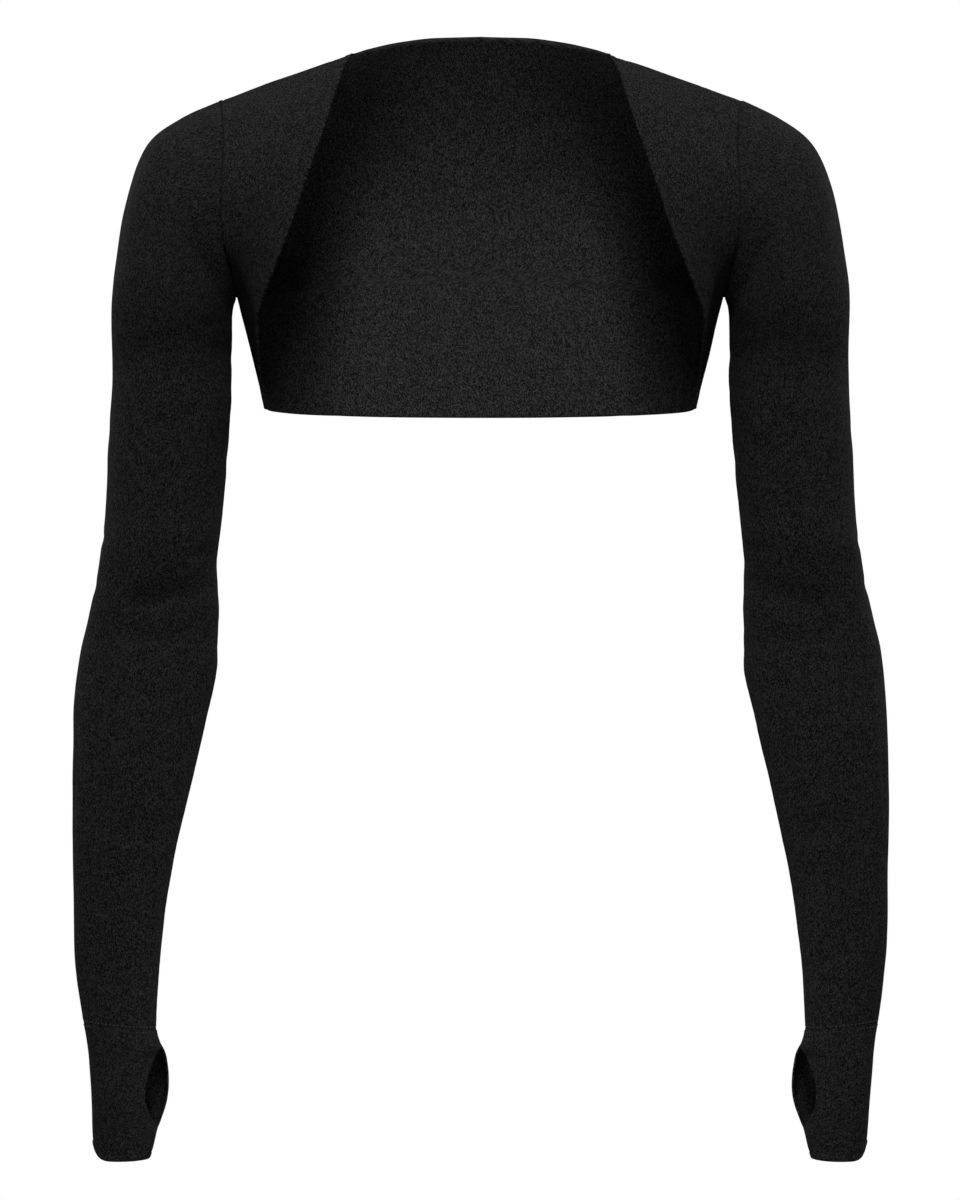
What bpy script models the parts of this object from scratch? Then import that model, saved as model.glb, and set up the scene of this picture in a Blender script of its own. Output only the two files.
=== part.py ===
"""A cropped bolero jacket in thin stretch jersey, worn and hollow.

It has one back, two narrow fronts, two long set-in sleeves and two hand pieces with a thumb hole.
The file's unit is the metre, +Z up, and the tables are in millimetres. The wearer faces -Y and the
wearer's left is +X. The origin is midway between the places where the jacket rests on the shoulders.
"""

from collections import defaultdict
from math import asin, cos, exp, pi, radians, sin, sqrt

import bpy
from mathutils import Vector

MM = 0.001

# Cloth
WALL = 1.5              # thickness of every wall
SEAM_GAP = 0.3          # space between two pieces at a seam
MITRE_LIMIT = 2.6       # how much further than WALL the inner corner of a sharp seam may lie

# Divisions of the cloth
ARMHOLE_STEPS = 14      # from the shoulder point to the underarm, on the front and on the back
SIDE_STEPS = 6          # from the underarm to the hem
SHOULDER_STEPS = 7      # from the shoulder point to the neck point
NECK_STEPS = 7          # from the neck point to the middle of the back
SLEEVE_STEPS = 30       # from the armhole to the wrist seam
CUFF_STEPS = 13         # from the wrist seam to the edge of the hand piece
AROUND = 2 * ARMHOLE_STEPS

# Torso
NECK_DEPTH = 62.0       # how far the middle of the back neck lies behind the shoulder seams
BODY_CURVE = 2.15       # exponent of the plan section: 2 is an ellipse, more is squarer
SHOULDER_ROUND = 120.0  # drop in which the back rounds over the shoulder to its full depth
SEAM_REACH = 7          # the higher, the closer to its outer edge the back leaves its oval to meet it


class Table:
    """Rows of sizes under named columns; a smooth curve without overshoot joins each column's values."""

    def __init__(self, columns, *rows):
        self.columns = columns.split()
        self.rows = rows
        self.first = rows[0][0]
        self.last = rows[-1][0]

    def at(self, place, column):
        """The value of a column at a place along the first column, which may rise or fall."""
        c = self.columns.index(column)
        sign = 1 if self.last > self.first else -1
        xs = [row[0] * sign for row in self.rows]
        ys = [row[c] for row in self.rows]
        x = min(max(place * sign, xs[0]), xs[-1])
        i = max(k for k in range(len(xs) - 1) if xs[k] <= x)
        slopes = [(ys[k + 1] - ys[k]) / (xs[k + 1] - xs[k]) for k in range(len(xs) - 1)]
        start = slopes[i] if i == 0 else gentle(slopes[i - 1], slopes[i])
        end = slopes[i] if i == len(slopes) - 1 else gentle(slopes[i], slopes[i + 1])
        span = xs[i + 1] - xs[i]
        t = (x - xs[i]) / span
        value = ys[i] * (1 + 2 * t) * (1 - t) ** 2 + ys[i + 1] * t * t * (3 - 2 * t)
        return value + span * t * (1 - t) * (start * (1 - t) - end * t)

    def curve(self, x, y, z, samples=200):
        """The curve in space that three of the columns draw."""
        places = [self.first + (self.last - self.first) * k / samples for k in range(samples + 1)]
        return [Vector([self.at(p, column) for column in (x, y, z)]) for p in places]


def gentle(before, after):
    """The slope where two rows meet, flat where the column turns back."""
    return 0.0 if before * after <= 0 else 2 * before * after / (before + after)


# The top edge of the back: the back neck up to the neck point at x = 87.25, then the shoulder seam
TOP_EDGE = Table(
    "x      z",
    (0.0, 36.0),
    (30.0, 34.6),
    (55.0, 30.2),
    (78.0, 22.3),
    (87.25, 17.3),
    (97.0, 13.2),
    (107.5, 8.2),
    (127.5, 0.8),
    (147.5, -5.8),
    (161.0, -9.6),
    (174.5, -13.4),
)
NECK_X = 87.25
SHOULDER_X = 174.5

# The armhole from the shoulder point to the underarm, on the front half and on the back half
ARMHOLE = Table(
    "row   front_x  front_y  front_z  back_x  back_y  back_z",
    (0, 174.5, 0.0, -13.4, 174.5, 0.0, -13.4),
    (1, 171.9, -21.0, -25.5, 172.0, 23.0, -25.5),
    (2, 170.3, -42.0, -50.0, 169.5, 45.5, -50.0),
    (3, 170.9, -51.0, -68.5, 168.5, 55.0, -68.0),
    (4, 171.3, -54.5, -88.5, 168.0, 59.0, -88.0),
    (5, 170.6, -52.5, -105.5, 167.6, 57.0, -106.0),
    (6, 168.5, -46.5, -117.5, 166.6, 50.5, -118.0),
    (7, 165.6, -36.0, -128.0, 165.2, 39.0, -129.0),
    (8, 163.6, -19.0, -140.0, 163.8, 20.5, -140.5),
    (9, 163.1, 0.0, -146.0, 163.1, 0.0, -146.0),
)

# The side seam from the underarm to the hem
SIDE_SEAM = Table(
    "z       x      y",
    (-146.0, 163.1, 0.0),
    (-161.0, 159.0, 2.5),
    (-188.0, 151.8, 4.0),
    (-206.0, 147.2, 4.0),
    (-220.0, 143.8, 4.0),
)
HEM_Z = -220.0
HEM_DIP = 2.0           # how much lower the hem is at the middle of the back

# The free edge of a front from the neck point to the hem, and how far each row of the cloth
# between that edge and the armhole or side seam bulges from a straight line
FRONT_EDGE = Table(
    "z       x      y      bulge",
    (17.3, 87.25, 0.0, 0.0),
    (8.0, 91.5, -13.5, 1.5),
    (-9.0, 95.9, -36.0, 3.0),
    (-31.0, 101.7, -53.5, 4.0),
    (-67.0, 112.8, -70.5, 5.0),
    (-108.0, 126.3, -77.0, 5.5),
    (-138.0, 138.4, -69.0, 5.0),
    (-152.5, 144.5, -57.0, 4.0),
    (-161.0, 147.5, -49.0, 3.2),
    (-175.5, 148.0, -40.0, 2.2),
    (-186.0, 147.7, -31.0, 1.8),
    (-200.0, 147.1, -17.0, 1.0),
    (-212.0, 145.7, -9.0, 0.4),
    (-220.0, 144.2, -6.0, 0.0),
)

# The oval that the back follows at each height: its depth behind the shoulder seams at the middle,
# and its half-width, which lies outside the armhole above the underarm
BACK_OVAL = Table(
    "z       depth  half_width",
    (36.0, 99.0, 200.0),
    (-30.0, 102.0, 200.0),
    (-80.0, 105.0, 196.0),
    (-105.0, 105.0, 185.0),
    (-128.0, 104.0, 173.0),
    (-146.0, 102.5, 164.6),
    (-161.0, 101.0, 159.6),
    (-188.0, 97.5, 152.0),
    (-222.0, 91.5, 143.9),
)

# A sleeve ring runs round from its outer point to its inner point, which faces the body
SLEEVE = Table(
    "ring  outer_x  outer_z  inner_x  inner_z  mid_y  half_depth",
    (0, 174.5, -13.4, 163.1, -146.0, 2.0, 57.0),
    (2, 200.5, -25.5, 165.6, -153.0, 2.0, 53.0),
    (4, 222.0, -41.5, 166.5, -160.5, 3.0, 49.5),
    (6, 234.5, -70.0, 166.6, -168.5, 2.0, 48.0),
    (8, 242.8, -110.0, 166.6, -179.0, 2.5, 46.5),
    (10, 247.2, -154.0, 166.6, -195.0, 4.2, 42.8),
    (12, 247.0, -200.0, 165.8, -216.0, 6.5, 40.0),
    (14, 249.8, -246.0, 169.6, -252.0, 7.7, 39.8),
    (16, 252.1, -292.0, 173.8, -294.0, 8.7, 40.3),
    (17, 255.0, -315.0, 174.9, -316.0, 9.7, 40.3),
    (18, 258.6, -338.0, 175.4, -338.0, 11.3, 39.2),
    (19, 263.8, -360.5, 175.0, -360.5, 12.0, 37.2),
    (20, 268.9, -383.0, 175.4, -383.0, 10.7, 36.3),
    (22, 273.0, -430.0, 184.7, -430.0, 3.5, 36.0),
    (24, 273.2, -477.0, 195.2, -477.0, -2.2, 33.2),
    (26, 272.2, -525.0, 205.6, -525.0, -7.0, 29.5),
    (28, 271.0, -575.0, 212.8, -575.0, -12.0, 25.5),
    (29, 269.0, -601.0, 214.9, -604.0, -14.2, 23.6),
    (30, 264.6, -629.0, 216.0, -633.8, -16.4, 22.0),
)
ARMHOLE_FADE = 7        # rings over which the armhole's own shape fades into an oval
SLEEVE_CURVE = 2.1      # exponent of a ring, as BODY_CURVE

# A hand piece: the thumb hole opens where lip_angle is under 180, between a front lip that is
# drawn back round the front and a back lip that stands out towards the body
CUFF = Table(
    "ring   z     outer_x  inner_x  lip_x  lip_angle  mid_y  half_depth",
    (0, -631.4, 264.6, 216.0, 216.0, 180, -16.4, 22.0),
    (1, -638.5, 262.9, 215.6, 214.8, 180, -17.3, 22.1),
    (2, -644.5, 262.0, 215.2, 212.8, 180, -18.0, 22.3),
    (3, -650.5, 261.2, 215.4, 210.0, 165, -18.5, 22.6),
    (4, -657.5, 260.6, 215.6, 208.6, 150, -19.0, 22.8),
    (5, -664.5, 260.0, 215.6, 207.8, 139, -19.4, 23.0),
    (6, -671.5, 259.4, 215.6, 207.6, 133, -19.8, 23.0),
    (7, -678.5, 258.8, 215.6, 208.2, 132, -20.1, 23.0),
    (8, -685.5, 258.3, 215.6, 209.8, 137, -20.4, 22.8),
    (9, -692.5, 258.0, 215.6, 212.2, 149, -20.7, 22.5),
    (10, -699.5, 257.7, 215.4, 214.6, 180, -21.0, 22.0),
    (11, -706.5, 257.3, 216.2, 216.2, 180, -21.2, 21.6),
    (12, -713.0, 257.2, 217.6, 217.6, 180, -21.4, 21.2),
    (13, -719.0, 256.6, 219.6, 219.6, 180, -21.5, 20.8),
)
CUFF_CORNER_LIFT = 9.0  # how much higher the hand piece's edge is on its outer side

# Soft troughs in a sleeve: ring and angle (0 outer, 90 front, 180 inner, 270 back) of the middle,
# reach along the sleeve in rings, reach round it in degrees, and depth
SLEEVE_FOLDS = (
    # ring, angle, along, around, depth
    (9.0, 150, 1.8, 22, 2.0),
    (12.5, 185, 1.2, 40, 1.6),
    (17.4, 170, 0.9, 55, 2.2),
    (19.4, 190, 0.9, 50, 1.8),
    (17.0, 300, 1.0, 45, 1.6),
    (21.5, 62, 4.0, 11, 1.7),
    (22.5, 128, 3.5, 12, 1.4),
    (23.0, 245, 4.0, 12, 1.6),
    (8.5, 225, 1.8, 24, 2.0),
    (28.5, 100, 0.7, 70, 0.8),
)


def key(point):
    """A point's name, the same for every piece that has the point on its edge."""
    return tuple(round(c, 4) for c in point)


def evenly(curve, steps):
    """Points at equal distances along a finely drawn curve, its two ends included."""
    lengths = [0.0]
    for a, b in zip(curve, curve[1:]):
        lengths.append(lengths[-1] + (b - a).length)
    points = []
    k = 0
    for step in range(steps + 1):
        want = lengths[-1] * step / steps
        while k < len(curve) - 2 and lengths[k + 1] < want:
            k += 1
        part = (want - lengths[k]) / (lengths[k + 1] - lengths[k])
        points.append(curve[k].lerp(curve[k + 1], part))
    return points


def quads(rows):
    """The faces of a grid of points: out of the cloth, each row runs leftwards and lies above the next."""
    faces = []
    for above, below in zip(rows, rows[1:]):
        for j in range(len(above) - 1):
            faces.append((above[j], above[j + 1], below[j + 1], below[j]))
    return faces


def turned(face):
    """A face's corners the other way round, from the same first corner, so that it splits the same way."""
    return face[:1] + face[:0:-1]


def mirrored(faces):
    """The same faces on the wearer's other side."""
    return [turned(tuple(Vector((-p.x, p.y, p.z)) for p in face)) for face in faces]


def side_seam():
    return evenly(SIDE_SEAM.curve("x", "y", "z"), SIDE_STEPS)


def outer_edge(half):
    """The edge that a panel shares with the sleeve and then with the other panel, top to bottom."""
    armhole = evenly(ARMHOLE.curve(f"{half}_x", f"{half}_y", f"{half}_z"), ARMHOLE_STEPS)
    return armhole + side_seam()[1:]


def neck_curve(x):
    """How far behind the shoulder seams the top edge lies at x."""
    part = min(abs(x) / NECK_X, 1.0)
    return NECK_DEPTH * (1 - part ** 2) ** 0.625


def top_point(x):
    return Vector((x, neck_curve(x), TOP_EDGE.at(abs(x), "z")))


def top_places():
    """The x of each column's top point, from the middle of the back to the shoulder point."""
    neck = [NECK_X * k / NECK_STEPS for k in range(NECK_STEPS)]
    shoulder = [NECK_X + (SHOULDER_X - NECK_X) * k / SHOULDER_STEPS for k in range(SHOULDER_STEPS + 1)]
    return neck + shoulder


def soft_step(part):
    """From 0 to 1 with a level start and end."""
    part = min(max(part, 0.0), 1.0)
    return part * part * (3 - 2 * part)


def rise(part, over_shoulder):
    """How much of its full depth the back has at a part of the drop in which it rounds."""
    left = 1 - min(part, 1.0)
    return over_shoulder * sqrt(1 - left ** 2) + (1 - over_shoulder) * (1 - left ** 2)


def back_half():
    """The wearer's left half of the back, as rows of points from the middle to the outer edge."""
    edge = outer_edge("back")
    places = top_places()
    rows = [[top_point(x) for x in places]]
    rows[0][-1] = edge[0]
    drop_all = edge[0].z - edge[-1].z
    for corner in edge[1:]:
        down = (edge[0].z - corner.z) / drop_all
        row = []
        half_width = max(BACK_OVAL.at(corner.z, "half_width"), corner.x)
        turn = asin(corner.x / half_width)
        around = min(down * 2.2, 1.0)
        for x_top in places:
            u = x_top / SHOULDER_X
            x = corner.x * u * (1 - around) + half_width * sin(turn * u) * around
            top_z = TOP_EDGE.at(x_top, "z")
            hem_z = HEM_Z - HEM_DIP * (1 - u ** 2)
            z = top_z + (hem_z - top_z) * down
            over = soft_step((u - 0.1) / 0.7)
            full = BACK_OVAL.at(z, "depth") * (1 - (x / half_width) ** BODY_CURVE) ** (1 / BODY_CURVE)
            start = neck_curve(x_top)
            row.append(Vector((x, start + (full - start) * rise((top_z - z) / SHOULDER_ROUND, over), z)))
        miss = corner - row[-1]
        row = [p + miss * (x_top / SHOULDER_X) ** SEAM_REACH for p, x_top in zip(row, places)]
        row[-1] = corner
        rows.append(row)
    return rows


def back_panel():
    left = back_half()
    rows = []
    for half in left:
        other = [Vector((-p.x, p.y, p.z)) for p in half[:0:-1]]
        rows.append(other + half)
    return quads(rows)


def front_panel():
    """The wearer's left front, as rows from the armhole and side seam to its free edge."""
    seam = outer_edge("front")
    free = evenly(FRONT_EDGE.curve("x", "y", "z"), len(seam) - 1)
    shoulder = [top_point(x) for x in top_places()[NECK_STEPS:]]
    shoulder[-1] = seam[0]
    rows = [shoulder[::-1]]
    for start, end in zip(seam[1:], free[1:]):
        chord = end - start
        outwards = Vector((-chord.y, chord.x, 0.0)).normalized()
        bulge = FRONT_EDGE.at(end.z, "bulge")
        row = []
        for k in range(SHOULDER_STEPS + 1):
            part = k / SHOULDER_STEPS
            row.append(start + chord * part + outwards * (4 * bulge * part * (1 - part)))
        rows.append(row)
    return quads(rows)


def oval(angle, curve):
    """A point of an oval of half-width and half-depth 1, as its width part and its depth part."""
    c, s = cos(angle), sin(angle)
    wide = abs(c) ** (2 / curve) * (1 if c >= 0 else -1)
    deep = abs(s) ** (2 / curve) * (1 if s >= 0 else -1)
    return wide, deep


def fold_depth(ring, angle):
    """How far the sleeve's cloth is drawn in by its folds at a ring and an angle in degrees."""
    depth = 0.0
    for middle, towards, along, around, deepest in SLEEVE_FOLDS:
        off = (angle - towards + 180) % 360 - 180
        depth += deepest * exp(-((ring - middle) / along) ** 2 - (off / around) ** 2)
    return depth


def sleeve_ring(ring):
    """One ring of the wearer's left sleeve, from its outer point round the front and the back."""
    outer = Vector((SLEEVE.at(ring, "outer_x"), 0, SLEEVE.at(ring, "outer_z")))
    inner = Vector((SLEEVE.at(ring, "inner_x"), 0, SLEEVE.at(ring, "inner_z")))
    middle = (outer + inner) / 2 + Vector((0, SLEEVE.at(ring, "mid_y"), 0))
    across = (outer - inner) / 2
    depth = Vector((0, -SLEEVE.at(ring, "half_depth"), 0))
    points = []
    for k in range(AROUND):
        angle = 2 * pi * k / AROUND
        wide, deep = oval(angle, SLEEVE_CURVE)
        spoke = across * wide + depth * deep
        inset = fold_depth(ring, 360 * k / AROUND)
        points.append(middle + spoke - spoke.normalized() * inset)
    return points


def armhole_ring():
    front = outer_edge("front")[:ARMHOLE_STEPS + 1]
    back = outer_edge("back")[:ARMHOLE_STEPS + 1]
    return front + back[ARMHOLE_STEPS - 1:0:-1]


def sleeve_rings():
    armhole = armhole_ring()
    own_shape = [a - b for a, b in zip(armhole, sleeve_ring(0))]
    rings = [armhole]
    for ring in range(1, SLEEVE_STEPS + 1):
        keep = max(1 - ring / ARMHOLE_FADE, 0.0) ** 2
        rings.append([p + offset * keep for p, offset in zip(sleeve_ring(ring), own_shape)])
    return rings


def sleeve():
    return quads([ring + ring[:1] for ring in sleeve_rings()])


def cuff_ring(ring):
    """One ring of the hand piece, from its back lip round the back, the outside and the front."""
    z = CUFF.at(ring, "z")
    outer, inner, lip = (CUFF.at(ring, column) for column in ("outer_x", "inner_x", "lip_x"))
    mid_y, deep_by = CUFF.at(ring, "mid_y"), CUFF.at(ring, "half_depth")
    front_turn = radians(CUFF.at(ring, "lip_angle"))
    closed = front_turn > radians(179)
    middle = (outer + inner) / 2
    last_ring = max(0.0, (ring - (CUFF_STEPS - 2)) / 2)
    points = []
    for k in range(-ARMHOLE_STEPS, ARMHOLE_STEPS + 1):
        angle = k / ARMHOLE_STEPS * (front_turn if k > 0 else pi)
        wide, deep = oval(angle, SLEEVE_CURVE)
        reach = outer - middle
        if wide < 0:
            reach = middle - (lip if k < 0 or closed else inner)
        lift = CUFF_CORNER_LIFT * last_ring * max(wide, 0.0) ** 6
        points.append(Vector((middle + reach * wide, mid_y - deep_by * deep, z + lift)))
    if closed:
        points[-1] = points[0].copy()
    return points


def cuff():
    wrist = sleeve_rings()[-1]
    rings = [wrist[ARMHOLE_STEPS:] + wrist[:ARMHOLE_STEPS + 1]]
    rings += [cuff_ring(ring) for ring in range(1, CUFF_STEPS + 1)]
    return quads(rings)


def face_normal(face):
    return (face[2] - face[0]).cross(face[3] - face[1]).normalized()


def shared_normals(pieces):
    """For each point, the way out of the cloth and how much further an even wall's inner corner lies."""
    around = defaultdict(list)
    for faces in pieces.values():
        for face in faces:
            normal = face_normal(face)
            for k, point in enumerate(face):
                before, after = face[k - 1] - point, face[(k + 1) % 4] - point
                if before.length > 0 and after.length > 0:
                    around[key(point)].append((normal, before.angle(after)))
    result = {}
    for name, corners in around.items():
        out = sum((normal * weight for normal, weight in corners), Vector()).normalized()
        lean = sum(normal.dot(out) * weight for normal, weight in corners) / sum(w for _, w in corners)
        result[name] = (out, min(1 / max(lean, 0.01), MITRE_LIMIT))
    return result


def free_edges(faces):
    """The edges that only one face has, each with that face."""
    found = {}
    for face in faces:
        for k, point in enumerate(face):
            a, b = key(point), key(face[(k + 1) % 4])
            if (b, a) in found:
                del found[(b, a)]
            elif a != b:
                found[(a, b)] = face
    return found


def seam_moves(edges, seams, normals, places):
    """How far each point on a seam moves into its own piece, which leaves the gap between pieces."""
    pulls = defaultdict(list)
    for (a, b), face in edges.items():
        if frozenset((a, b)) not in seams:
            continue
        middle = sum(face, Vector()) / 4
        for end in (a, b):
            pull = (places[b] - places[a]).cross(normals[end][0]).normalized()
            if pull.dot(middle - places[end]) < 0:
                pull.negate()
            pulls[end].append(pull)
    moves = {}
    for end, found in pulls.items():
        total = sum(found, Vector())
        moves[end] = total * (SEAM_GAP / 2 / max(total.dot(found[0]), 0.3))
    return moves


def rim(a, b, a_first):
    """Two triangles between an outer edge and the inner one, split alike by both pieces at a seam."""
    if a_first:
        return [(b, a, b + 1), (a, a + 1, b + 1)]
    return [(b, a, a + 1), (b, a + 1, b + 1)]


def cloth(name, faces, normals, seams, colour):
    """Make a piece: its outer faces, the same faces one wall further in, and a rim between them."""
    places = {key(point): point for face in faces for point in face}
    edges = free_edges(faces)
    moves = seam_moves(edges, seams, normals, places)
    index = {}
    points = []
    for label, point in places.items():
        out, further = normals[label]
        shifted = point + moves.get(label, Vector())
        index[label] = len(points)
        points += [shifted * MM, (shifted - out * WALL * further) * MM]
    polygons = []
    for face in faces:
        corners = [index[key(point)] for point in face]
        polygons.append(corners)
        polygons.append([corner + 1 for corner in turned(corners)])
    for a, b in edges:
        polygons += rim(index[a], index[b], a < b)
    mesh = bpy.data.meshes.new(name)
    mesh.from_pydata(points, [], polygons)
    mesh.validate()
    mesh.shade_smooth()
    mesh.set_sharp_from_angle(angle=radians(50))
    mesh.materials.append(jersey(name, colour))
    bpy.context.scene.collection.objects.link(bpy.data.objects.new(name, mesh))


def jersey(name, colour):
    material = bpy.data.materials.new(f"{name}_jersey")
    material.use_nodes = True
    shader = material.node_tree.nodes["Principled BSDF"]
    shader.inputs["Base Color"].default_value = (*colour, 1.0)
    shader.inputs["Roughness"].default_value = 0.9
    shader.inputs["Metallic"].default_value = 0.0
    return material


CHARCOAL = (0.012, 0.012, 0.013)


def jacket():
    left = {"front": front_panel(), "sleeve": sleeve(), "cuff": cuff()}
    pieces = {"back_panel": back_panel()}
    for part, faces in left.items():
        pieces[f"{part}_left"] = faces
        pieces[f"{part}_right"] = mirrored(faces)
    normals = shared_normals(pieces)
    owners = defaultdict(set)
    for name, faces in pieces.items():
        for edge in free_edges(faces):
            owners[frozenset(edge)].add(name)
    seams = {edge for edge, names in owners.items() if len(names) > 1}
    for name, faces in pieces.items():
        cloth(name, faces, normals, seams, CHARCOAL)


for old in list(bpy.data.objects):
    bpy.data.objects.remove(old)
jacket()
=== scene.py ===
from math import atan, pi

import bpy
import numpy as np
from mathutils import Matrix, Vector


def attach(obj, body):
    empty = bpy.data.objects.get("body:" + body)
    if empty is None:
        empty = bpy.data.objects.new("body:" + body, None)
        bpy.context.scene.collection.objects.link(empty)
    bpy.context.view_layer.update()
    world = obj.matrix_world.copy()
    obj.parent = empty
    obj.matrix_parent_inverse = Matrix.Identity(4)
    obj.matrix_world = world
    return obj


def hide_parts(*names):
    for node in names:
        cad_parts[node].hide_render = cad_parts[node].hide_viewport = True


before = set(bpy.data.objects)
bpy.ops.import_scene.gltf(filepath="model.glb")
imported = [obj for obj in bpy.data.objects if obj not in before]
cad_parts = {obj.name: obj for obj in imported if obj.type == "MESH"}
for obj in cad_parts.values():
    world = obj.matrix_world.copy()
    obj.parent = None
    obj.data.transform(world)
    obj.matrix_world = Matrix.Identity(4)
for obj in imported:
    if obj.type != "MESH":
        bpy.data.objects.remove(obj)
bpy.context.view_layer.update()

# The looks of the cropped bolero jacket. Every piece of cloth is a thin shell on the form of the solid
# that it stands for, from the same tables of sizes, with finer cells, creases, seams and turned edges.
# The tables are in millimetres; the wearer faces -Y and the wearer's left is +X.

MM = 0.001

# Cloth
CLOTH = 0.85            # thickness of the jersey
TURNED = 1.5            # thickness where the cloth is turned at a free edge
TURNED_LIFT = 0.32      # how far the turned cloth stands out
TURN_WIDTH = 3.6        # how far the turned edge reaches
TURN_SLOPE = 1.2        # width of the step down from it
TURN_DENT = 0.2         # depth of the dent along that step
TURN_DENT_WIDTH = 0.8   # half-width of that dent
TURN_DENT_AWAY = 0.3    # from the end of the turned edge to the middle of that dent
TURN_AT_SEAM = (0.5, 3.0)   # distances from a seam between which a turned edge gets its full thickness
CELL = 2.6              # distance between the points of the cloth
NEAR_EDGE = (0.35, 0.8, 1.3, 1.9, 2.6, 3.5, 4.8)   # closer points beside a seam or an edge
RIM_STEPS = 3           # points round a free edge between its outer and its inner side
FAR = 99.0              # distance that stands for a seam or an edge that isn't there
CLOSE = 0.01            # places this close together are one
RELAX_ROUNDS = 160      # rounds that even out the back
RELAX_PULL = 0.22       # how far a point goes towards its neighbours in a round
RELAX_LEAST = 0.02      # the least distance between two points that this reckons with

# Seams
SEAM_DEPTH = 0.8        # depth of the groove where two pieces are sewn together
SEAM_WIDTH = 1.15       # half-width of that groove
WRIST_DEPTH = 0.15      # the same groove at the wrist, where stitches hold the seam flat
SEAM_SHADE_WIDTH = 0.45          # half-width of the painted shade along the bottom of a seam's groove
WRIST_SHADE_SHARE = 0.3        # how strong that painted shade is at the wrist, as a share
WRIST_REACH = 9.0       # how far from the wrist seam the painted shade counts as the wrist's
PUCKER = 0.16           # height of the ripples beside a seam
PUCKER_START = 1.5      # distance from the seam at which they are full
PUCKER_REACH = 5.0      # how far from the seam they fade
PUCKER_WAVES = (4.3, 6.1, 8.9, 14.5)   # their wavelengths

# Stitches of the wrist seam
STITCH_LENGTH = 1.8
STITCH_STEP = 2.7       # from the middle of a stitch to that of the next
STITCH_WIDTH = 0.75
STITCH_FULL = 0.3       # share of its length, to each side of its middle, where it has its full width
STITCH_LIFT = 0.28      # height of its crown over the cloth
STITCH_SINK = 0.15      # how deep its ends and its underside lie in the cloth
STITCH_AWAY = (1.5, 2.1)   # from the seam, on the sleeve and on the hand piece
STITCH_POINTS = 10      # a point at each end and two rings of four between them

# Torso
NECK_DEPTH = 62.0       # how far the middle of the back neck lies behind the shoulder seams
NECK_CURVE = 0.625      # exponent of the neck edge seen from above: 0.5 is an ellipse
BODY_CURVE = 2.15       # exponent of the plan section: 2 is an ellipse, more is squarer
BODY_TURN = 2.2         # the back follows that section in full from 1 / BODY_TURN of the way down
SHOULDER_ROUND = 120.0  # drop in which the back rounds over the shoulder to its full depth
SHOULDER_PART = (0.1, 0.8)   # shares of the half-width between which that rounding sets in
SEAM_REACH = 7          # the higher, the closer to its outer edge the back leaves its oval to meet it
HEM_Z = -220.0
HEM_DIP = 2.0           # how much lower the hem is at the middle of the back
NECK_X = 87.25
SHOULDER_X = 174.5
ARMHOLE_PART = 0.7      # share of a front's rows that lie beside the armhole

# Sleeves and hand pieces
SLEEVE_RINGS = 30.0
ARMHOLE_FADE = 7.0      # rings over which the armhole's own shape fades into an oval
SLEEVE_CURVE = 2.1      # exponent of a ring, as BODY_CURVE
CUFF_RINGS = 13.0
CUFF_FADE = 1.5         # rings over which the wrist's shape fades into the hand piece's
CUFF_CORNER_LIFT = 9.0  # how much higher the hand piece's edge is on its outer side
CUFF_CORNER_RINGS = 2   # rings over which that corner rises
CUFF_CORNER_CURVE = 6   # the higher, the closer to the outer point it stays


class Table:
    """Rows of sizes under named columns; a smooth curve without overshoot joins each column's values."""

    def __init__(self, columns, *rows):
        data = np.array(rows, float)
        self.ends = data[0, 0], data[-1, 0]
        if self.ends[0] > self.ends[1]:
            data = data[::-1]
        self.places = data[:, 0]
        self.values = dict(zip(columns.split(), data.T))

    def at(self, place, column):
        xs, ys = self.places, self.values[column]
        x = np.clip(place, xs[0], xs[-1])
        i = np.clip(np.searchsorted(xs, x, "right") - 1, 0, len(xs) - 2)
        slope = np.diff(ys) / np.diff(xs)
        before, after = slope[:-1], slope[1:]
        same = before * after > 0
        gentle = np.where(same, 2 * before * after / np.where(same, before + after, 1), 0.0)
        tangent = np.concatenate([slope[:1], gentle, slope[-1:]])
        span = xs[i + 1] - xs[i]
        t = (x - xs[i]) / span
        value = ys[i] * (1 + 2 * t) * (1 - t) ** 2 + ys[i + 1] * t * t * (3 - 2 * t)
        return value + span * t * (1 - t) * (tangent[i] * (1 - t) - tangent[i + 1] * t)

    def curve(self, x, y, z, samples=900):
        places = np.linspace(*self.ends, samples + 1)
        return np.stack([self.at(places, column) for column in (x, y, z)], axis=1)


TOP_EDGE = Table(
    "x      z",
    (0, 36),
    (30, 34.6),
    (55, 30.2),
    (78, 22.3),
    (87.25, 17.3),
    (97, 13.2),
    (107.5, 8.2),
    (127.5, 0.8),
    (147.5, -5.8),
    (161, -9.6),
    (174.5, -13.4),
)
ARMHOLE = Table(
    "row   front_x  front_y  front_z  back_x  back_y  back_z",
    (0, 174.5, 0, -13.4, 174.5, 0, -13.4),
    (1, 171.9, -21, -25.5, 172, 23, -25.5),
    (2, 170.3, -42, -50, 169.5, 45.5, -50),
    (3, 170.9, -51, -68.5, 168.5, 55, -68),
    (4, 171.3, -54.5, -88.5, 168, 59, -88),
    (5, 170.6, -52.5, -105.5, 167.6, 57, -106),
    (6, 168.5, -46.5, -117.5, 166.6, 50.5, -118),
    (7, 165.6, -36, -128, 165.2, 39, -129),
    (8, 163.6, -19, -140, 163.8, 20.5, -140.5),
    (9, 163.1, 0, -146, 163.1, 0, -146),
)
SIDE_SEAM = Table(
    "z       x      y",
    (-146, 163.1, 0),
    (-161, 159, 2.5),
    (-188, 151.8, 4),
    (-206, 147.2, 4),
    (-220, 143.8, 4),
)
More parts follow.
